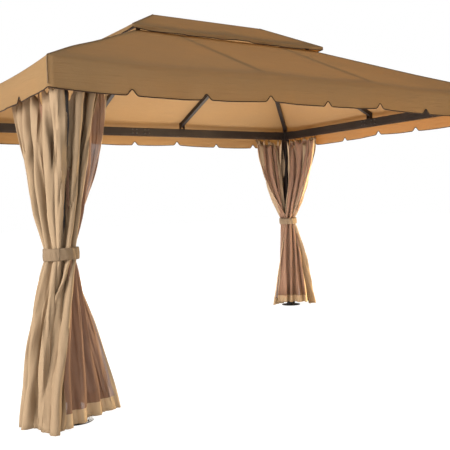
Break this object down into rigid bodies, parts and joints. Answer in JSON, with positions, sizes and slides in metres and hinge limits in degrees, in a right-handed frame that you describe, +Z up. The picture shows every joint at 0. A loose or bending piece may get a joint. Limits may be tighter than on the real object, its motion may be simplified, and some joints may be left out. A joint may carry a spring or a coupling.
{
  "type": "soft-top garden gazebo",
  "caption": "Rectangular metal-framed garden gazebo with a double fabric roof, scalloped valance, and curtains and insect nets tied back at the corner posts.",
  "frame": {"origin": "on the ground, under the middle of the roof", "axes": "+X along the long side, +Y along the short side towards the back, +Z up"},
  "size_m": [4.424, 3.144, 2.743],
  "materials": {
    "frame_metal": "satin",
    "rail_metal": "satin",
    "foot_metal": "matte",
    "canopy_cloth": "woven polyester",
    "curtain_cloth": "woven polyester",
    "net_mesh": "knitted mesh"
  },
  "bodies": {
    "root": {"beam_back_left": "frame_metal", "beam_back_right": "frame_metal", "beam_front_left": "frame_metal", "beam_front_right": "frame_metal", "beam_left_back": "frame_metal", "beam_left_front": "frame_metal", "beam_right_back": "frame_metal", "beam_right_front": "frame_metal", "canopy_back": "canopy_cloth", "canopy_front": "canopy_cloth", "canopy_left": "canopy_cloth", "canopy_right": "canopy_cloth", "canopy_top": "canopy_cloth", "cap_frame": "frame_metal", "corner_brackets": "frame_metal", "crown_long": "frame_metal", "crown_short": "frame_metal", "crown_standoffs": "frame_metal", "curtain_back_left": "curtain_cloth", "curtain_back_right": "curtain_cloth", "curtain_front_left": "curtain_cloth", "curtain_front_right": "curtain_cloth", "curtain_rails": "curtain_cloth", "feet": "foot_metal", "hip_back_left": "frame_metal", "hip_back_right": "frame_metal", "hip_front_left": "frame_metal", "hip_front_right": "frame_metal", "net_back_left": "net_mesh", "net_back_right": "net_mesh", "net_front_left": "net_mesh", "net_front_right": "net_mesh", "post_back_left": "frame_metal", "post_back_right": "frame_metal", "post_front_left": "frame_metal", "post_front_right": "frame_metal", "rafter_back_left": "frame_metal", "rafter_back_right": "frame_metal", "rafter_brackets": "frame_metal", "rafter_front_left": "frame_metal", "rafter_front_right": "frame_metal", "rafter_left": "frame_metal", "rafter_right": "frame_metal", "splice_sleeves": "frame_metal", "ties": "curtain_cloth"}
  },
  "joints": []
}
